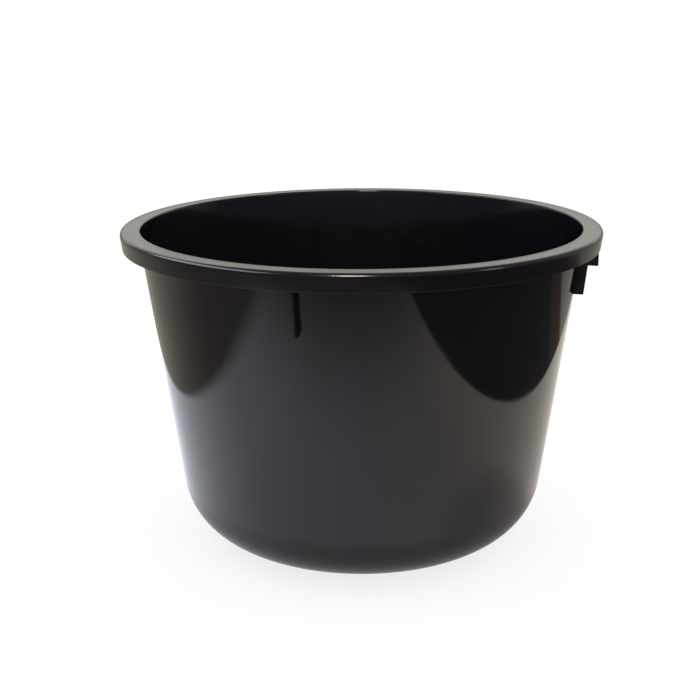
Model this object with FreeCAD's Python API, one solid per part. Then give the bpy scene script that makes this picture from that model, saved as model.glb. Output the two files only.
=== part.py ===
import FreeCAD, Part
import math
import os

# Mortar mixing tub: one round, tapered plastic moulding, written as its separate features.
# Millimetres. +Z is up, and the origin is the centre of the foot ring's underside, where the tub
# stands. Angles round the tub are counted from -Y, the front, towards +X, the right-hand side.
# Neighbouring features meet face to face, because every outline is drawn from the same values.

# overall sizes
rim_outer_radius = 285.0        # half of the widest diameter, at the rim's outer edge
tub_height = 385.0              # from the foot ring's underside to the rim's top face
wall_taper_deg = 7.8            # how far the side wall leans out from upright

# shell
shell_thickness = 3.0           # floor, heel and wall, square to their surface
heel_radius = 82.0              # outside of the curve between floor and wall
rim_overhang = 20.2             # from the wall's outside, run up to the rim's top face, to the rim's edge

# rim
rim_thickness = 3.2             # flange and skirt
rim_corner_radius = 4.6         # outside corner between flange and skirt
mouth_lip_radius = 1.6          # rounded inner edge of the flange
skirt_depth = 20.6              # from the rim's top face to the skirt's lower edge

# foot ring and gate mark, under the floor
foot_height = 2.0
foot_width = 9.0
foot_inset = 5.0                # from the end of the flat floor to the foot ring's outside
gate_mark_radius = 5.0
gate_mark_height = 0.8

# four equal ribs under the rim, a quarter turn apart
rib_angle_deg = -14.8           # the first one, at the front
rib_thickness = 3.2
rib_depth = 73.2                # from the rim's top face to the rib's lower edge
rib_top_reach = 9.4             # out from the wall, under the flange
rib_bottom_reach = 11.4         # out from the wall, at the rib's lower edge

# tabs, one beyond each side rib, in line with it and wide enough to show below the skirt
tab_thickness = 3.0
tab_depth = 38.6
tab_edge_inset = 1.2            # outer edge, inside the skirt's outside

# worked out from the sizes above
taper = math.radians(wall_taper_deg)
lean_in = (math.cos(taper), math.sin(taper))
floor_underside = foot_height
flange_underside = tub_height - rim_thickness
skirt_bottom = tub_height - skirt_depth
heel_centre_height = floor_underside + heel_radius
corner_centre = (rim_outer_radius - rim_corner_radius, tub_height - rim_corner_radius)
corner_inner_radius = rim_corner_radius - rim_thickness


def wall_outside(height):
    """Radius of the wall's outer surface at a height."""
    return rim_outer_radius - rim_overhang - (tub_height - height) * math.tan(taper)


def wall_inside(height):
    """Radius of the wall's inner surface at a height."""
    return wall_outside(height) - shell_thickness / math.cos(taper)


def along_lean(centre, radius):
    """Point at a radius from a centre, square to the wall and outwards."""
    return (centre[0] + radius * lean_in[0], centre[1] - radius * lean_in[1])


def skirt_side(radius_from_corner, height):
    """Radius of a skirt surface at a height: it leans as the wall does."""
    start = along_lean(corner_centre, radius_from_corner)
    return start[0] - (start[1] - height) * math.tan(taper)


heel_centre = (wall_outside(heel_centre_height) - heel_radius / math.cos(taper), heel_centre_height)
flat_floor_radius = heel_centre[0]
foot_outer_radius = flat_floor_radius - foot_inset


def point(radius, height):
    return FreeCAD.Vector(radius, 0, height)


def line(start, end):
    return Part.LineSegment(point(*start), point(*end)).toShape()


def arc(centre, radius, start_deg, end_deg):
    """Arc in the outline's plane; angles counted from outwards towards up."""
    ends_and_middle = []
    for angle_deg in (start_deg, (start_deg + end_deg) / 2, end_deg):
        angle = math.radians(angle_deg)
        place = point(centre[0] + radius * math.cos(angle), centre[1] + radius * math.sin(angle))
        ends_and_middle.append(place)
    return Part.Arc(*ends_and_middle).toShape()


def polyline(places):
    edges = []
    for start, end in zip(places, places[1:]):
        edges.append(line(start, end))
    return edges


def turn(edges, start_deg=0.0, sweep_deg=360.0):
    """Solid swept round +Z by a closed outline of edges."""
    face = Part.Face(Part.Wire(edges))
    upright = FreeCAD.Vector(0, 0, 1)
    face.rotate(FreeCAD.Vector(0, 0, 0), upright, start_deg)
    return face.revolve(FreeCAD.Vector(0, 0, 0), upright, sweep_deg)


def floor():
    return Part.makeCylinder(flat_floor_radius, shell_thickness, point(0, floor_underside))


def heel():
    inner_radius = heel_radius - shell_thickness
    floor_edge = flat_floor_radius
    outer_end = along_lean(heel_centre, heel_radius)
    inner_end = along_lean(heel_centre, inner_radius)
    return turn([
        arc(heel_centre, heel_radius, -90, -wall_taper_deg),
        line(outer_end, inner_end),
        arc(heel_centre, inner_radius, -wall_taper_deg, -90),
        line((floor_edge, floor_underside + shell_thickness), (floor_edge, floor_underside)),
    ])


def wall():
    return turn(polyline([
        along_lean(heel_centre, heel_radius),
        (wall_outside(flange_underside), flange_underside),
        (wall_inside(flange_underside), flange_underside),
        along_lean(heel_centre, heel_radius - shell_thickness),
        along_lean(heel_centre, heel_radius),
    ]))


def rim_flange():
    lip_height = tub_height - mouth_lip_radius
    lip_centre = (wall_inside(lip_height) + mouth_lip_radius / math.cos(taper), lip_height)
    lip_start = along_lean(lip_centre, -mouth_lip_radius)
    inner_foot = (wall_inside(flange_underside), flange_underside)
    return turn([
        line(inner_foot, lip_start),
        arc(lip_centre, mouth_lip_radius, 180 - wall_taper_deg, 90),
        line((lip_centre[0], tub_height), (corner_centre[0], tub_height)),
        line((corner_centre[0], tub_height), (corner_centre[0], flange_underside)),
        line((corner_centre[0], flange_underside), inner_foot),
    ])


def rim_skirt(middle_deg):
    """A quarter of the skirt with its rounded top corner, its middle at an angle from +X.

    The skirt is one unbroken ring on the tub, and is held here as four equal quarters.
    """
    top = (corner_centre[0], tub_height)
    under = (corner_centre[0], flange_underside)
    outline = [arc(corner_centre, rim_corner_radius, 90, -wall_taper_deg)]
    outline += polyline([
        along_lean(corner_centre, rim_corner_radius),
        (skirt_side(rim_corner_radius, skirt_bottom), skirt_bottom),
        (skirt_side(corner_inner_radius, skirt_bottom), skirt_bottom),
        along_lean(corner_centre, corner_inner_radius),
    ])
    outline += [arc(corner_centre, corner_inner_radius, -wall_taper_deg, 90), line(under, top)]
    return turn(outline, middle_deg - 45, 90)


def foot_ring():
    outer_radius = foot_outer_radius
    inner_radius = outer_radius - foot_width
    draft = foot_height / 2
    return turn(polyline([
        (inner_radius, floor_underside),
        (inner_radius + draft, 0),
        (outer_radius - draft, 0),
        (outer_radius, floor_underside),
        (inner_radius, floor_underside),
    ]))


def gate_mark():
    return Part.makeCylinder(gate_mark_radius, gate_mark_height, point(0, floor_underside - gate_mark_height))


def rib_outer(height):
    """Radius of a rib's outer edge at a height: a straight line that stands off further lower down."""
    down = (flange_underside - height) / (flange_underside - tub_height + rib_depth)
    return wall_outside(height) + rib_top_reach + (rib_bottom_reach - rib_top_reach) * down


def upright_plate(outline, thickness, angle_deg):
    """Flat plate of a thickness, cut from a turned outline, standing at an angle round the tub."""
    half_slice_deg = math.degrees(math.asin(thickness / flat_floor_radius))
    slice_ring = turn(outline, -half_slice_deg, 2 * half_slice_deg)
    slab = Part.makeBox(2 * rim_outer_radius, thickness, tub_height, FreeCAD.Vector(0, -thickness / 2, 0))
    plate = slice_ring.common(slab)
    plate.rotate(FreeCAD.Vector(0, 0, 0), FreeCAD.Vector(0, 0, 1), angle_deg - 90)
    return plate.Solids[0]


def rib(angle_deg):
    low = tub_height - rib_depth
    outline = polyline([
        (wall_outside(flange_underside), flange_underside),
        (rib_outer(flange_underside), flange_underside),
        (rib_outer(low), low),
        (wall_outside(low), low),
        (wall_outside(flange_underside), flange_underside),
    ])
    return upright_plate(outline, rib_thickness, angle_deg)


def tab(angle_deg):
    """Plate that fills the channel between a rib and the skirt, and runs on below the skirt."""
    low = tub_height - tab_depth
    outer_edge = skirt_side(rim_corner_radius, skirt_bottom) - tab_edge_inset
    outline = [
        line((rib_outer(flange_underside), flange_underside), (corner_centre[0], flange_underside)),
        arc(corner_centre, corner_inner_radius, 90, -wall_taper_deg),
    ]
    outline += polyline([
        along_lean(corner_centre, corner_inner_radius),
        (skirt_side(corner_inner_radius, skirt_bottom), skirt_bottom),
        (outer_edge, skirt_bottom),
        (outer_edge, low),
        (rib_outer(low), low),
        (rib_outer(flange_underside), flange_underside),
    ])
    return upright_plate(outline, tab_thickness, angle_deg)


right_angle_deg = rib_angle_deg + 90
features = {
    "floor": floor(),
    "heel": heel(),
    "wall": wall(),
    "rim_flange": rim_flange(),
    "rim_skirt_front": rim_skirt(-90),
    "rim_skirt_right": rim_skirt(0),
    "rim_skirt_rear": rim_skirt(90),
    "rim_skirt_left": rim_skirt(180),
    "foot_ring": foot_ring(),
    "gate_mark": gate_mark(),
    "front_rib": rib(rib_angle_deg),
    "right_rib": rib(right_angle_deg),
    "rear_rib": rib(rib_angle_deg + 180),
    "left_rib": rib(right_angle_deg + 180),
    "right_tab": tab(right_angle_deg),
    "left_tab": tab(right_angle_deg + 180),
}

os.makedirs("parts", exist_ok=True)
for name, shape in features.items():
    shape.exportStep(f"parts/{name}.step")
    print(name, "valid" if shape.isValid() else "NOT VALID", f"{shape.Volume / 1000:.1f} cm3")
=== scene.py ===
import bpy
import math
from mathutils import Matrix, Vector


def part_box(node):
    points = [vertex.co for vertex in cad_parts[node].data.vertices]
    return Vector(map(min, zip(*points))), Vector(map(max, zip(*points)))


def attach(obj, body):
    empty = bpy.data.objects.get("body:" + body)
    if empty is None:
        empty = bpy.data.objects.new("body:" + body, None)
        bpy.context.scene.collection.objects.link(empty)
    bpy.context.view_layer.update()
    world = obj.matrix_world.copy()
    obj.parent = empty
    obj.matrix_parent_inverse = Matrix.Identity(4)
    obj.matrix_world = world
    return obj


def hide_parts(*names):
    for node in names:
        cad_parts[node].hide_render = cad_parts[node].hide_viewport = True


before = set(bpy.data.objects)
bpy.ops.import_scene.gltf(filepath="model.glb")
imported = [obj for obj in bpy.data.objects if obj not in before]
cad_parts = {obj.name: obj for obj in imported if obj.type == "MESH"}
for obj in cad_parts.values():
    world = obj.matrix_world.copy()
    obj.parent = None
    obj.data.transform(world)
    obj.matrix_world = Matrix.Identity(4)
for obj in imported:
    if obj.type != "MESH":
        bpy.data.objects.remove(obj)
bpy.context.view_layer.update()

# Mortar mixing tub: one glossy black moulding, standing on a pale studio floor.
# Metres. Every place comes from the frame's boxes or from the values beside each piece.


lean = math.radians(7.8)  # how far the wall and the skirt lean out
mergeWithin = 0.000002  # vertices closer than this become one

floorLow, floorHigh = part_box("floor")
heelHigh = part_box("heel")[1]
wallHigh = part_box("wall")[1]
flangeLow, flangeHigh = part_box("rim_flange")
skirtLow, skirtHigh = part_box("rim_skirt_right")

brim = flangeHigh.z
flangeUnder = flangeLow.z
skirtBottom = skirtLow.z
shell = floorHigh.z - floorLow.z
rimThickness = brim - flangeUnder
cornerRadius = skirtHigh.x - flangeHigh.x
cornerCentre = (flangeHigh.x, brim - cornerRadius)
cornerInner = cornerRadius - rimThickness
heelRadius = (heelHigh.x - floorHigh.x) / math.cos(lean)
heelCentre = (floorHigh.x, floorLow.z + heelRadius)


def outsideAt(height):
    return wallHigh.x - (flangeUnder - height) * math.tan(lean)


def insideAt(height):
    return outsideAt(height) - shell / math.cos(lean)


def roundFrom(centre, radius, degrees):  # a point on a circle, degrees counted from outwards to up
    turn = math.radians(degrees)
    return (centre[0] + radius * math.cos(turn), centre[1] + radius * math.sin(turn))


def skirtAt(radius, height):  # a side of the leaning skirt
    start = roundFrom(cornerCentre, radius, -math.degrees(lean))
    return start[0] - (start[1] - height) * math.tan(lean)


class Wire:
    # one socket of a material's nodes; sums on it add Math nodes
    def __init__(self, tree, socket=None):
        self.tree = tree
        self.socket = socket

    def node(self, kind, settings=None, values=None, output=0):
        made = self.tree.nodes.new(kind)
        for name, setting in (settings or {}).items():
            if name == "stops":
                ramp = made.color_ramp
                ramp.elements[0].position, ramp.elements[0].color = setting[0]
                ramp.elements[1].position, ramp.elements[1].color = setting[-1]
                for place, colour in setting[1:-1]:
                    ramp.elements.new(place).color = colour
            else:
                setattr(made, name, setting)
        for name, value in (values or {}).items():
            if isinstance(value, Wire):
                self.tree.links.new(value.socket, made.inputs[name])
            else:
                made.inputs[name].default_value = value
        return Wire(self.tree, made.outputs[output] if made.outputs else None)

    def maths(self, operation, first, second=0.0):
        return self.node("ShaderNodeMath", {"operation": operation}, {0: first, 1: second})

    def __add__(self, other):
        return self.maths("ADD", self, other)

    def __radd__(self, other):
        return self.maths("ADD", other, self)

    def __sub__(self, other):
        return self.maths("SUBTRACT", self, other)

    def __rsub__(self, other):
        return self.maths("SUBTRACT", other, self)

    def __mul__(self, other):
        return self.maths("MULTIPLY", self, other)

    def __rmul__(self, other):
        return self.maths("MULTIPLY", other, self)

    def fade(self, start, end):  # 0 at start, 1 at end, soft between
        return self.node("ShaderNodeMapRange", {"interpolation_type": "SMOOTHSTEP"},
                         {"Value": self, "From Min": start, "From Max": end})

    def noise(self, place, scale, detail=2.0, roughness=0.5, distortion=0.0):
        return self.node("ShaderNodeTexNoise", {},
                         {"Vector": place, "Scale": scale, "Detail": detail, "Roughness": roughness,
                          "Distortion": distortion})

    def axes(self, place):
        split = self.node("ShaderNodeSeparateXYZ", {}, {0: place})
        parts = split.socket.node.outputs
        return [Wire(self.tree, part) for part in parts]

    def vector(self, operation, first, second):
        return self.node("ShaderNodeVectorMath", {"operation": operation}, {0: first, 1: second})

    def blend(self, factor, first, second):  # between two colours
        return self.node("ShaderNodeMix", {"data_type": "RGBA"}, {0: factor, 6: first, 7: second}, 2)


def newMaterial(name):
    material = bpy.data.materials.new(name)
    material.use_nodes = True
    nodes = material.node_tree.nodes
    nodes.clear()
    return material, Wire(material.node_tree)


outsideFinish = {
    "colour": (0.0029, 0.0028, 0.0033, 1.0),
    "dustColour": (0.050, 0.047, 0.042, 1.0),
    "dust": 0.05,              # how far dusty patches go towards the dust's colour
    "roughness": 0.045,
    "smudge": 0.035,           # roughness added where the gloss is dulled
    "smudgeScale": 9.0,
    "waveScale": 5.5,
    "waveHeight": 0.00009,     # slow unevenness of the cooled wall
    "peelScale": 380.0,
    "peelHeight": 0.0000022,
    "drawHeight": 0.000002,    # upright marks left as the tub was drawn off its mould
    "drawRough": 0.012,
    "hairline": 0.10,
}
# the inside's colour is lighter and bluer than the outside's: painted light standing in for the light the
# inside catches; its rougher gloss, deeper draw marks and extra dust are the moulding's own
insideFinishWithPaintedLift = dict(outsideFinish, colour=(0.0054, 0.0048, 0.0066, 1.0), roughness=0.075, smudge=0.08,
                    drawHeight=0.000010, drawRough=0.09, peelHeight=0.0000035,
                    dust=0.07, hairline=0.12)
rimFinish = dict(outsideFinish, roughness=0.15, smudge=0.07, waveScale=14.0, waveHeight=0.00003,
                 dust=0.10, hairline=0.16, drawHeight=0.0)
ribFinish = dict(outsideFinish, roughness=0.20, waveScale=30.0, waveHeight=0.00002, drawHeight=0.000004)
underFinish = dict(outsideFinish, roughness=0.26, smudge=0.16, dust=0.45, hairline=0.30, smudgeScale=16.0)


# the pattern that every finish shares; each range is where a noise fades in
grain = {
    "smudge": (0.42, 0.75), "cloudScale": 26.0, "cloud": (0.45, 0.8), "cloudShare": 0.6,
    "drawScale": 46.0, "drawStretch": 1.4, "drawn": (0.5, 0.72),
    "hairTurn": (0.5, 0.9, 0.3), "hairStretch": (1.0, 5.0, 1.6), "hairScale": 17.0, "hairWidth": 0.0045,
    "hairPatchScale": 12.0, "hairPatch": (0.56, 0.66), "hairDust": 0.7, "hairDepth": 0.000004,
    "speckScale": 210.0, "speck": (0.08, 0.20), "speckPatchScale": 95.0, "speckPatch": (0.60, 0.72),
    "ior": 1.5,
}


def blackPolyethylene(name, finish):
    material, wire = newMaterial(name)
    place = wire.node("ShaderNodeTexCoord", {}, {}, 3)

    smudge = wire.noise(place, finish["smudgeScale"], 5.0, 0.6, 0.4).fade(*grain["smudge"])
    cloud = wire.noise(place, grain["cloudScale"], 3.0, 0.65).fade(*grain["cloud"])

    # upright draw marks: noise on a unit circle round the axis, long in height
    flat = wire.vector("MULTIPLY", place, (1.0, 1.0, 0.0))
    circle = wire.node("ShaderNodeVectorMath", {"operation": "NORMALIZE"}, {0: flat})
    tall = wire.vector("MULTIPLY", place, (0.0, 0.0, grain["drawStretch"]))
    drawn = wire.noise(wire.vector("ADD", circle, tall), grain["drawScale"], 3.0, 0.7)
    drawnMask = drawn.fade(*grain["drawn"])

    # hairlines: where a stretched noise crosses its middle, broken up by a coarser one
    slant = wire.node("ShaderNodeMapping", {}, {
        "Vector": place, "Rotation": grain["hairTurn"], "Scale": grain["hairStretch"]})
    ridge = wire.noise(slant, grain["hairScale"], 1.0, 0.4)
    apart = wire.maths("ABSOLUTE", ridge - 0.5)
    hairPatch = wire.noise(place, grain["hairPatchScale"], 2.0).fade(*grain["hairPatch"])
    hairline = (1 - apart.fade(0.0, grain["hairWidth"])) * hairPatch

    # settled dust in small specks and thin clouds
    specks = wire.node("ShaderNodeTexVoronoi", {"feature": "F1"},
                       {"Vector": place, "Scale": grain["speckScale"], "Randomness": 1.0})
    speckPatch = wire.noise(place, grain["speckPatchScale"], 1.0).fade(*grain["speckPatch"])
    speck = (1 - specks.fade(*grain["speck"])) * speckPatch
    dusty = (cloud * smudge * grain["cloudShare"] + speck + hairline * grain["hairDust"]) * finish["dust"]

    waves = wire.noise(place, finish["waveScale"], 2.0, 0.4) * finish["waveHeight"]
    peel = wire.noise(place, finish["peelScale"], 2.0, 0.5) * finish["peelHeight"]
    marks = drawn * finish["drawHeight"]
    cuts = hairline * -grain["hairDepth"]
    bump = wire.node("ShaderNodeBump", {}, {
        "Height": waves + peel + marks + cuts, "Distance": 1.0, "Strength": 1.0})

    roughness = (smudge * finish["smudge"] + drawnMask * finish["drawRough"]
                 + hairline * finish["hairline"] + finish["roughness"])
    colour = wire.blend(dusty, finish["colour"], finish["dustColour"])
    plastic = wire.node("ShaderNodeBsdfPrincipled", {}, {
        "Base Color": colour, "Roughness": roughness, "Normal": bump, "IOR": grain["ior"]})
    wire.node("ShaderNodeOutputMaterial", {}, {"Surface": plastic})
    return material


outsideBlack = blackPolyethylene("polyethylene_outside", outsideFinish)
insideBlack = blackPolyethylene("polyethylene_inside", insideFinishWithPaintedLift)
rimBlack = blackPolyethylene("polyethylene_rim", rimFinish)
ribBlack = blackPolyethylene("polyethylene_rib", ribFinish)
underBlack = blackPolyethylene("polyethylene_underside", underFinish)
print("materials made")


def deselectAll():
    bpy.ops.object.select_all(action="DESELECT")


class Outline:
    # a drawn line in the plane of X and Z that is turned or thickened into a piece
    def __init__(self, name, start):
        deselectAll()
        bpy.ops.mesh.primitive_plane_add(size=0.01, location=(0, 0, 0))
        self.piece = bpy.context.object
        self.piece.name = name
        self.piece.data.name = name
        bpy.ops.object.mode_set(mode="EDIT")
        bpy.ops.mesh.select_mode(type="VERT")
        bpy.ops.mesh.select_all(action="SELECT")
        bpy.ops.mesh.merge(type="CENTER")
        bpy.ops.transform.translate(value=(start[0], 0, start[1]))
        self.at = start

    def lineTo(self, end):
        step = (end[0] - self.at[0], 0, end[1] - self.at[1])
        bpy.ops.mesh.extrude_vertices_move(TRANSFORM_OT_translate={"value": step})
        self.at = end

    def arcRound(self, centre, radius, startDeg, endDeg, steps):
        sweep = math.radians(endDeg - startDeg)
        bpy.ops.mesh.spin(steps=steps, angle=sweep, center=(centre[0], 0, centre[1]), axis=(0, 1, 0))
        self.at = roundFrom(centre, radius, endDeg)

    def turned(self, steps):
        bpy.ops.mesh.select_all(action="SELECT")
        bpy.ops.mesh.spin(steps=steps, angle=2 * math.pi, center=(0, 0, 0), axis=(0, 0, 1))
        bpy.ops.mesh.select_all(action="SELECT")
        bpy.ops.mesh.remove_doubles(threshold=mergeWithin)
        bpy.ops.mesh.normals_make_consistent(inside=False)
        bpy.ops.object.mode_set(mode="OBJECT")
        return self.piece


def selectVertices(piece, wanted):
    bpy.ops.object.mode_set(mode="EDIT")
    bpy.ops.mesh.select_mode(type="VERT")
    bpy.ops.mesh.select_all(action="DESELECT")
    bpy.ops.object.mode_set(mode="OBJECT")
    for vertex in piece.data.vertices:
        vertex.select = wanted(vertex.co)
    bpy.ops.object.mode_set(mode="EDIT")


def smooth(degrees):
    bpy.ops.object.shade_smooth_by_angle(angle=math.radians(degrees))


def giveMaterials(piece, materials, which):
    piece.data.materials.clear()
    for material in materials:
        piece.data.materials.append(material)
    for face in piece.data.polygons:
        face.material_index = which(face)


def facesInward(face):
    flat = Vector((face.center.x, face.center.y, 0))
    return face.normal.dot(flat) < -0.0001 or (face.normal.z > 0.5 and face.center.z < brim / 2)


bowl = {"steps": 256, "heelSteps": 26, "wallSteps": 10, "floorRing": 0.5, "underBand": 0.004}


def makeBowl():
    floorUnder = floorLow.z
    floorTop = floorHigh.z
    leanDeg = math.degrees(lean)
    outline = Outline("tub_bowl", (0, floorUnder))
    outline.lineTo((heelCentre[0] * bowl["floorRing"], floorUnder))
    outline.lineTo((heelCentre[0], floorUnder))
    outline.arcRound(heelCentre, heelRadius, -90, -leanDeg, bowl["heelSteps"])
    wallStart = outline.at[1]
    for step in range(1, bowl["wallSteps"] + 1):
        height = wallStart + (flangeUnder - wallStart) * step / bowl["wallSteps"]
        outline.lineTo((outsideAt(height), height))
    outline.lineTo((insideAt(flangeUnder), flangeUnder))
    innerEnd = roundFrom(heelCentre, heelRadius - shell, -leanDeg)
    for step in range(1, bowl["wallSteps"]):
        height = flangeUnder + (innerEnd[1] - flangeUnder) * step / bowl["wallSteps"]
        outline.lineTo((insideAt(height), height))
    outline.lineTo(innerEnd)
    outline.arcRound(heelCentre, heelRadius - shell, -leanDeg, -90, bowl["heelSteps"])
    outline.lineTo((heelCentre[0] * bowl["floorRing"], floorTop))
    outline.lineTo((0, floorTop))
    piece = outline.turned(bowl["steps"])
    smooth(30)
    underTop = floorUnder + bowl["underBand"]
    giveMaterials(piece, [outsideBlack, insideBlack, underBlack],
                  lambda face: 1 if facesInward(face) else 2 if face.center.z < underTop else 0)
    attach(piece, "root")
    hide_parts("floor", "heel", "wall")


rim = {"steps": 256, "lip": 0.0016, "lipSteps": 5, "cornerSteps": 12, "innerSteps": 5, "hemRound": 0.00022,
       "hemSteps": 2, "hemSupport": 0.00035}


def makeRim():
    leanDeg = math.degrees(lean)
    lip = rim["lip"]
    lipHeight = brim - lip
    lipCentre = (insideAt(lipHeight) + lip / math.cos(lean), lipHeight)
    innerFoot = (insideAt(flangeUnder), flangeUnder)
    outline = Outline("tub_rim", innerFoot)
    outline.lineTo(roundFrom(lipCentre, lip, 180 - leanDeg))
    outline.arcRound(lipCentre, lip, 180 - leanDeg, 90, rim["lipSteps"])
    outline.lineTo((cornerCentre[0], brim))
    outline.arcRound(cornerCentre, cornerRadius, 90, -leanDeg, rim["cornerSteps"])
    support = skirtBottom + rim["hemSupport"]  # keeps the hem's roundness off the skirt's shading
    outline.lineTo((skirtAt(cornerRadius, support), support))
    outline.lineTo((skirtAt(cornerRadius, skirtBottom), skirtBottom))
    outline.lineTo((skirtAt(cornerInner, skirtBottom), skirtBottom))
    outline.lineTo(roundFrom(cornerCentre, cornerInner, -leanDeg))
    outline.arcRound(cornerCentre, cornerInner, -leanDeg, 90, rim["innerSteps"])
    outline.lineTo((outsideAt(flangeUnder), flangeUnder))
    outline.lineTo(innerFoot)
    bpy.ops.mesh.select_all(action="SELECT")
    bpy.ops.mesh.remove_doubles(threshold=mergeWithin)
    selectVertices(outline.piece, lambda place: abs(place.z - skirtBottom) < 0.00001)
    bpy.ops.mesh.bevel(offset=rim["hemRound"], segments=rim["hemSteps"], affect="VERTICES")
    piece = outline.turned(rim["steps"])
    smooth(30)
    # the flange's upright inner face continues the bowl's inside
    giveMaterials(piece, [rimBlack, insideBlack], lambda face: 1 if facesInward(face)
                  and face.center.z > flangeUnder and abs(face.normal.z) < 0.4 else 0)
    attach(piece, "root")
    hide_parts("rim_flange", "rim_skirt_front", "rim_skirt_right", "rim_skirt_rear", "rim_skirt_left")


# ribs and tabs are sunk a little into the wall and the flange, so no gap shows
fin = {"sunk": 0.001, "edgeRound": 0.0005, "edgeSteps": 3, "edgeFrom": 32, "smoothTo": 40}
rib = {"thickness": 0.0032, "topReach": 0.0094, "bottomReach": 0.0114, "flareReach": 0.0014, "flareWidth": 1.7}
tab = {"thickness": 0.0030, "edgeInset": 0.0012, "cornerSteps": 5}


def closeOutline():
    bpy.ops.mesh.select_all(action="SELECT")
    bpy.ops.mesh.remove_doubles(threshold=mergeWithin)
    bpy.ops.mesh.edge_face_add()


def thicken(thickness):
    bpy.ops.transform.translate(value=(0, -thickness / 2, 0))
    bpy.ops.mesh.extrude_region_move(TRANSFORM_OT_translate={"value": (0, thickness, 0)})


def finishFin(piece, node):
    low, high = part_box(node)
    aim = math.atan2(low.y + high.y, low.x + high.x)
    bpy.ops.mesh.select_all(action="SELECT")
    bpy.ops.mesh.normals_make_consistent(inside=False)
    bpy.ops.transform.rotate(value=-aim, orient_axis="Z", center_override=(0, 0, 0))
    bpy.ops.object.mode_set(mode="OBJECT")
    smooth(fin["smoothTo"])
    edges = piece.modifiers.new("rounded", "BEVEL")
    edges.width = fin["edgeRound"]
    edges.segments = fin["edgeSteps"]
    edges.limit_method = "ANGLE"
    edges.angle_limit = math.radians(fin["edgeFrom"])
    edges.harden_normals = True
    bpy.ops.object.modifier_apply(modifier=edges.name)
    giveMaterials(piece, [ribBlack], lambda face: 0)
    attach(piece, "root")
    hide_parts(node)


def makeRib(node):
    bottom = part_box(node)[0].z
    sunk = fin["sunk"]
    top = flangeUnder + sunk
    outline = Outline(node + "_fin", (outsideAt(top) - sunk, top))
    outline.lineTo((outsideAt(flangeUnder) + rib["topReach"], top))
    outline.lineTo((outsideAt(flangeUnder) + rib["topReach"], flangeUnder))
    outline.lineTo((outsideAt(bottom) + rib["bottomReach"], bottom))
    outline.lineTo((outsideAt(bottom) - sunk, bottom))
    outline.lineTo((outsideAt(top) - sunk, top))
    closeOutline()
    thicken(rib["thickness"])

    # flare the root where the rib grows out of the wall
    bpy.ops.mesh.select_all(action="SELECT")
    rootPoint = (outsideAt(bottom) + rib["flareReach"], 0, bottom)
    outward = (math.cos(lean), 0, -math.sin(lean))
    bpy.ops.mesh.bisect(plane_co=rootPoint, plane_no=outward)
    piece = outline.piece
    selectVertices(piece, lambda place: place.x < outsideAt(place.z) + rib["flareReach"] * 0.3)
    bpy.ops.transform.resize(value=(1, rib["flareWidth"], 1), center_override=(0, 0, 0))
    finishFin(piece, node)


def makeTab(node):
    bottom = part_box(node)[0].z
    sunk = fin["sunk"]
    leanDeg = math.degrees(lean)
    top = flangeUnder + sunk
    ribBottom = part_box("right_rib")[0].z
    down = (flangeUnder - bottom) / (flangeUnder - ribBottom)
    lowReach = rib["topReach"] + (rib["bottomReach"] - rib["topReach"]) * down
    edge = skirtAt(cornerRadius, skirtBottom) - tab["edgeInset"]
    start = (outsideAt(top) + rib["topReach"] - sunk, top)
    outline = Outline(node + "_fin", start)
    outline.lineTo((cornerCentre[0], top))
    outline.arcRound(cornerCentre, cornerInner + sunk, 90, -leanDeg, tab["cornerSteps"])
    outline.lineTo((skirtAt(cornerInner + sunk, skirtBottom + sunk), skirtBottom + sunk))
    outline.lineTo((edge, skirtBottom + sunk))
    outline.lineTo((edge, bottom))
    outline.lineTo((outsideAt(bottom) + lowReach - sunk, bottom))
    outline.lineTo(start)
    closeOutline()
    thicken(tab["thickness"])
    finishFin(outline.piece, node)


makeBowl()
makeRim()
print("bowl and rim made")

for side in ("front", "right", "rear", "left"):
    makeRib(side + "_rib")
for side in ("right", "left"):
    makeTab(side + "_tab")
print("ribs and tabs made")


foot = {"steps": 192, "width": 0.009, "edgeRound": 0.0006, "edgeSteps": 3, "sunk": 0.0008}


def makeFoot():
    low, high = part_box("foot_ring")
    outer = high.x
    draft = (high.z - low.z) / 2
    inner = outer - foot["width"]
    top = high.z + foot["sunk"]
    outline = Outline("foot_ring_turned", (inner, top))
    outline.lineTo((inner, high.z))
    outline.lineTo((inner + draft, low.z))
    outline.lineTo((outer - draft, low.z))
    outline.lineTo((outer, high.z))
    outline.lineTo((outer, top))
    outline.lineTo((inner, top))
    bpy.ops.mesh.select_all(action="SELECT")
    bpy.ops.mesh.remove_doubles(threshold=mergeWithin)
    selectVertices(outline.piece, lambda place: place.z < low.z + 0.0001)
    bpy.ops.mesh.bevel(offset=foot["edgeRound"], segments=foot["edgeSteps"], affect="VERTICES")
    piece = outline.turned(foot["steps"])
    smooth(30)
    giveMaterials(piece, [underBlack], lambda face: 0)
    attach(piece, "root")
    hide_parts("foot_ring")


# outline as part of the radius and height over the lowest point, with a dimple round the snapped sprue
nub = {"steps": 48,
       "profile": [(0.94, 0.0001), (0.88, 0.0), (0.45, 0.0001), (0.3, 0.0004), (0.2, 0.0001), (0, 0)]}


def makeGateNub():
    low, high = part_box("gate_mark")
    radius = high.x
    top = high.z + foot["sunk"]
    outline = Outline("gate_nub", (0, top))
    outline.lineTo((radius, top))
    outline.lineTo((radius, high.z))
    for part, rise in nub["profile"]:
        outline.lineTo((radius * part, low.z + rise))
    piece = outline.turned(nub["steps"])
    smooth(30)
    giveMaterials(piece, [underBlack], lambda face: 0)
    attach(piece, "root")
    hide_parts("gate_mark")


makeFoot()
makeGateNub()
print("foot ring and gate nub made")


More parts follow.
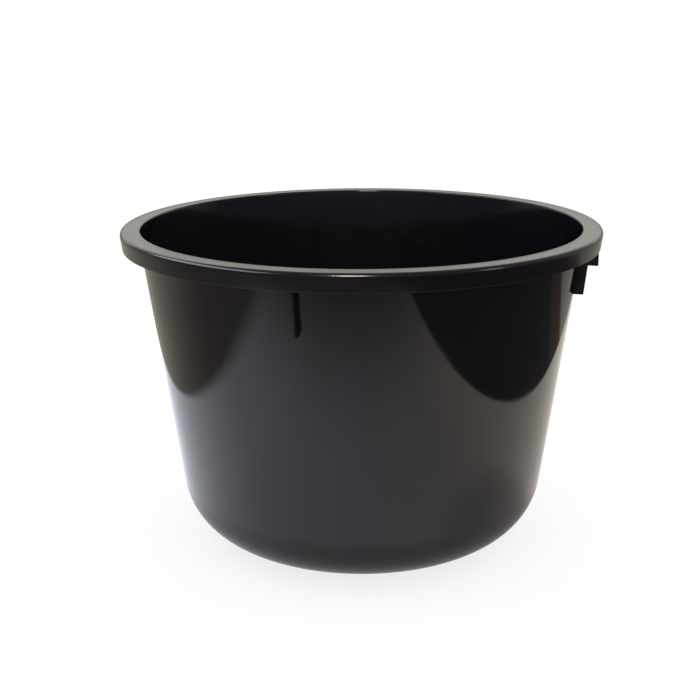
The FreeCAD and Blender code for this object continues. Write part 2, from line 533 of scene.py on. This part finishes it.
studio = {
    "floorSize": 30,
    "floorDiffuse": (0.24, 0.24, 0.24, 1.0),
    "floorGlow": 0.80,
    "skyStrength": 1.0,
    "roomHigh": (0.29, 0.235, 0.305, 1.0),
    "roomLow": (0.10, 0.09, 0.115, 1.0),
    "roomBehind": (0.42, 0.39, 0.36, 1.0),
    "leftNear": (0.27, 0.22, 0.21, 1.0),
    "leftFar": (0.46, 0.43, 0.36, 1.0),
    "rightSurround": (0.068, 0.056, 0.056, 1.0),
    "frontSurround": (0.125, 0.10, 0.11, 1.0),
    "shelfNear": (0.13, 0.085, 0.07, 1.0),
    "shelfFar": (0.40, 0.38, 0.33, 1.0),
    "sheetFrontLeft": (0.75, 0.76, 0.86, 1.0),
    "shade": (0.30, 0.28, 0.26, 1.0),
    "underLeft": (0.40, 0.41, 0.45, 1.0),
    "underRight": (0.30, 0.285, 0.27, 1.0),
    # light lying on the sheet, bluish from the window at the left, warm at the right
    "sheet": [(0.0, (1.38, 1.42, 1.56, 1.0)), (0.14, (1.34, 1.38, 1.52, 1.0)),
              (0.32, (0.98, 1.00, 1.12, 1.0)), (0.50, (0.88, 0.83, 0.95, 1.0)),
              (0.75, (0.84, 0.77, 0.75, 1.0)), (1.0, (1.02, 0.93, 0.82, 1.0))],
}


def onlyReflected(thing):  # flags and softboxes shape the gloss, and don't show or throw shadows
    thing.visible_camera = False
    thing.visible_diffuse = False
    thing.visible_transmission = False
    thing.visible_volume_scatter = False
    thing.visible_shadow = False


def glowing(name, colour, strength):
    material, wire = newMaterial(name)
    light = wire.node("ShaderNodeEmission", {}, {"Color": colour, "Strength": strength})
    wire.node("ShaderNodeOutputMaterial", {}, {"Surface": light})
    return material


softboxes = {
    "window_panel": {"size": (2.6, 0.8), "at": (-1.75, -0.2, 1.75), "target": (0, 0, 0.38),
                     "colour": (0.78, 0.88, 1.0, 1.0), "strength": 5.6},
    "camera_lamp": {"size": (0.25, 0.33), "at": (-0.10, -1.1, 1.3), "target": (0, -0.28, 0.38),
                    "colour": (1.0, 0.93, 0.86, 1.0), "strength": 38.0},
    "right_lamp": {"size": (0.30, 0.42), "at": (1.85, -1.03, 1.40), "target": (0.14, -0.25, 0.38),
                   "colour": (1.0, 0.95, 0.88, 1.0), "strength": 7.2},
}


def softbox(name, box):
    deselectAll()
    bpy.ops.mesh.primitive_plane_add(size=1, location=box["at"])
    panel = bpy.context.object
    panel.name = name
    panel.scale = (box["size"][0], box["size"][1], 1)
    aim = Vector(box["target"]) - Vector(box["at"])
    panel.rotation_euler = aim.to_track_quat("Z", "Y").to_euler()
    panel.data.materials.append(glowing(name + "_glow", box["colour"], box["strength"]))
    onlyReflected(panel)


def makeFloor():
    deselectAll()
    bpy.ops.mesh.primitive_plane_add(size=studio["floorSize"], location=(0, 0, 0))
    ground = bpy.context.object
    ground.name = "studio_floor"
    material, wire = newMaterial("pale_floor")
    matt = wire.node("ShaderNodeBsdfDiffuse", {}, {"Color": studio["floorDiffuse"]})
    glow = wire.node("ShaderNodeEmission", {}, {"Color": (1, 1, 1, 1), "Strength": studio["floorGlow"]})
    both = wire.node("ShaderNodeAddShader", {}, {0: matt, 1: glow})
    wire.node("ShaderNodeOutputMaterial", {}, {"Surface": both})
    ground.data.materials.append(material)


# places on the card in metres: across is x, deep is y, and each pair is where something fades in
card = {
    "size": 9, "height": 0.0004,
    "rightEdge": (0.598, 0.195, -0.13), "rightSoftness": 0.006,
    "leftEdge": (-0.607, 0.13, 0.02), "leftSoftFrom": (0.25, -0.9), "leftSoftness": (0.014, 0.09),
    "shelfAcross": (0.62, 0.68), "shelfDeep": (0.27, 0.33), "shelfTurns": (0.50, 0.58),
    "leftDeep": (-0.25, 0.45), "sides": (-0.3, 0.3), "sheetAcross": (-0.5, 0.5),
    "frontLeftDeep": (-0.05, -0.35), "frontLeftAcross": (-0.1, -0.3), "frontLeftShare": 0.42,
    "frontSkew": 0.12, "frontDeep": (-0.42, -1.02), "frontShare": 0.95,
    "shadeAt": (0.24, -0.13), "shadeScale": 5.5, "shadeShare": 0.55,
    "contact": (0.092, 0.040), "contactShare": 0.85, "underAcross": (-0.2, 0.2),
}


def bent(y, curve):  # an edge of the sheet: its place in the middle, its slant and its bend
    return y * curve[1] + y * y * curve[2] + curve[0]


def makeReflectedFloor():
    # what the gloss sees of the floor: a lit sheet with a dark room beyond its edges
    deselectAll()
    bpy.ops.mesh.primitive_plane_add(size=card["size"], location=(0, 0, card["height"]))
    sheetCard = bpy.context.object
    sheetCard.name = "reflected_floor"
    material, wire = newMaterial("reflected_floor")
    x, y = wire.axes(wire.node("ShaderNodeTexCoord", {}, {}, 3))[:2]
    beyondRight = (x - bent(y, card["rightEdge"])).fade(-card["rightSoftness"], card["rightSoftness"])
    hard, soft = card["leftSoftness"]
    leftSoftness = y.fade(*card["leftSoftFrom"]) * soft + hard
    beyondLeft = (bent(y, card["leftEdge"]) - x).fade(leftSoftness * -1, leftSoftness)
    shelf = x.fade(*card["shelfAcross"]) * y.fade(*card["shelfDeep"])
    shelfColour = wire.blend(y.fade(*card["shelfTurns"]), studio["shelfNear"], studio["shelfFar"])
    right = wire.blend(shelf, studio["rightSurround"], shelfColour)
    left = wire.blend(y.fade(*card["leftDeep"]), studio["leftNear"], studio["leftFar"])
    sides = wire.blend(x.fade(*card["sides"]), left, right)

    low, high = card["sheetAcross"]
    across = wire.node("ShaderNodeMapRange", {}, {"Value": x, "From Min": low, "From Max": high})
    sheet = wire.node("ShaderNodeValToRGB", {"stops": studio["sheet"]}, {0: across})
    frontLeft = y.fade(*card["frontLeftDeep"]) * x.fade(*card["frontLeftAcross"]) * card["frontLeftShare"]
    sheet = wire.blend(frontLeft, sheet, studio["sheetFrontLeft"])
    front = (x * card["frontSkew"] + y).fade(*card["frontDeep"]) * card["frontShare"]
    lit = wire.blend(front, sheet, studio["frontSurround"])

    # the tub's shade on the sheet, and the dark under its heel
    shadeX = (x - card["shadeAt"][0]) * card["shadeScale"]
    shadeY = (y - card["shadeAt"][1]) * card["shadeScale"]
    shade = (shadeX * shadeX + shadeY * shadeY).fade(1.0, 0.05) * card["shadeShare"]
    contact = (x * x + y * y).fade(*card["contact"]) * card["contactShare"]
    under = wire.blend(x.fade(*card["underAcross"]), studio["underLeft"], studio["underRight"])
    shaded = wire.blend(contact, wire.blend(shade, lit, studio["shade"]), under)

    outside = wire.maths("MAXIMUM", beyondRight, beyondLeft)
    glow = wire.node("ShaderNodeEmission", {}, {"Color": wire.blend(outside, shaded, sides), "Strength": 1.0})
    wire.node("ShaderNodeOutputMaterial", {}, {"Surface": glow})
    sheetCard.data.materials.append(material)
    onlyReflected(sheetCard)


room = {"radius": 4.4, "height": 0.4, "rise": (0.42, 0.62), "behind": (-0.5, 2.0)}


def makeRoom():
    # a dim room, seen by the gloss only
    deselectAll()
    bpy.ops.mesh.primitive_uv_sphere_add(segments=48, ring_count=24, radius=room["radius"],
                                         location=(0, 0, room["height"]))
    dome = bpy.context.object
    dome.name = "dim_room"
    material, wire = newMaterial("dim_room")
    x, y, z = wire.axes(wire.node("ShaderNodeTexCoord", {}, {}, 3))
    front = wire.blend(z.fade(*room["rise"]), studio["roomLow"], studio["roomHigh"])
    colour = wire.blend(y.fade(*room["behind"]), front, studio["roomBehind"])
    glow = wire.node("ShaderNodeEmission", {}, {"Color": colour, "Strength": 1.0})
    wire.node("ShaderNodeOutputMaterial", {}, {"Surface": glow})
    dome.data.materials.append(material)
    onlyReflected(dome)


backdrop = {"at": (0, 2.2, 1.55), "size": (4.6, 1.66), "sides": (0.02, 0.15),
            "middleColour": (0.84, 0.78, 0.68, 1.0), "sideColour": (1.0, 0.97, 0.89, 1.0)}


def makeBackdropGlow():
    # pale wall behind, brighter towards its sides, that the flat rim mirrors
    deselectAll()
    bpy.ops.mesh.primitive_plane_add(size=1, location=backdrop["at"], rotation=(math.pi / 2, 0, 0))
    wall = bpy.context.object
    wall.name = "back_softbox"
    wall.scale = (backdrop["size"][0], backdrop["size"][1], 1)
    material, wire = newMaterial("back_softbox")
    x = wire.axes(wire.node("ShaderNodeTexCoord", {}, {}, 3))[0]
    side = wire.maths("ABSOLUTE", x).fade(*backdrop["sides"])
    colour = wire.blend(side, backdrop["middleColour"], backdrop["sideColour"])
    glow = wire.node("ShaderNodeEmission", {}, {"Color": colour, "Strength": 1.0})
    wire.node("ShaderNodeOutputMaterial", {}, {"Surface": glow})
    wall.data.materials.append(material)
    onlyReflected(wall)


lamps = {
    "left_window_light": {"size": (1.6, 1.2), "at": (-1.6, 0.2, 1.8), "target": (-0.2, 0, 0),
                          "colour": (0.80, 0.90, 1.0), "power": 6.0},
    "right_warm_light": {"size": (1.2, 1.0), "at": (1.5, 0.3, 1.7), "target": (0.3, 0, 0),
                         "colour": (1.0, 0.93, 0.80), "power": 4.0},
}


def areaLight(name, lamp):
    light = bpy.data.lights.new(name, "AREA")
    light.shape = "RECTANGLE"
    light.size, light.size_y = lamp["size"]
    light.color = lamp["colour"]
    light.energy = lamp["power"]
    holder = bpy.data.objects.new(name, light)
    bpy.context.scene.collection.objects.link(holder)
    holder.location = lamp["at"]
    aim = Vector(lamp["target"]) - Vector(lamp["at"])
    holder.rotation_euler = aim.to_track_quat("-Z", "Y").to_euler()
    holder.visible_glossy = False  # the softboxes do the mirroring


def makeWorld():
    world = bpy.data.worlds.new("white_studio")
    bpy.context.scene.world = world
    world.use_nodes = True
    wire = Wire(world.node_tree)
    world.node_tree.nodes.clear()
    sky = wire.node("ShaderNodeBackground", {}, {"Color": (1, 1, 1, 1), "Strength": studio["skyStrength"]})
    wire.node("ShaderNodeOutputWorld", {}, {"Surface": sky})
    world.cycles_visibility.glossy = False


camera = {"lens": 62.58, "sensor": 36, "at": (0, -1.4441, 0.6402), "down": 0.2791, "aside": 0.0098,
          "roll": -0.006}


def makeCamera():
    view = bpy.data.cameras.new("studio_camera")
    view.lens = camera["lens"]
    view.sensor_width = camera["sensor"]
    holder = bpy.data.objects.new("studio_camera", view)
    bpy.context.scene.collection.objects.link(holder)
    turn = (Matrix.Rotation(camera["aside"], 4, "Z") @ Matrix.Rotation(math.pi / 2 - camera["down"], 4, "X")
            @ Matrix.Rotation(camera["roll"], 4, "Z"))
    holder.matrix_world = Matrix.Translation(camera["at"]) @ turn
    bpy.context.scene.camera = holder


makeFloor()
makeReflectedFloor()
makeRoom()
makeBackdropGlow()
for name, box in softboxes.items():
    softbox(name, box)
for name, lamp in lamps.items():
    areaLight(name, lamp)
makeWorld()
makeCamera()
bpy.context.scene.view_settings.view_transform = "Standard"
print("studio made")
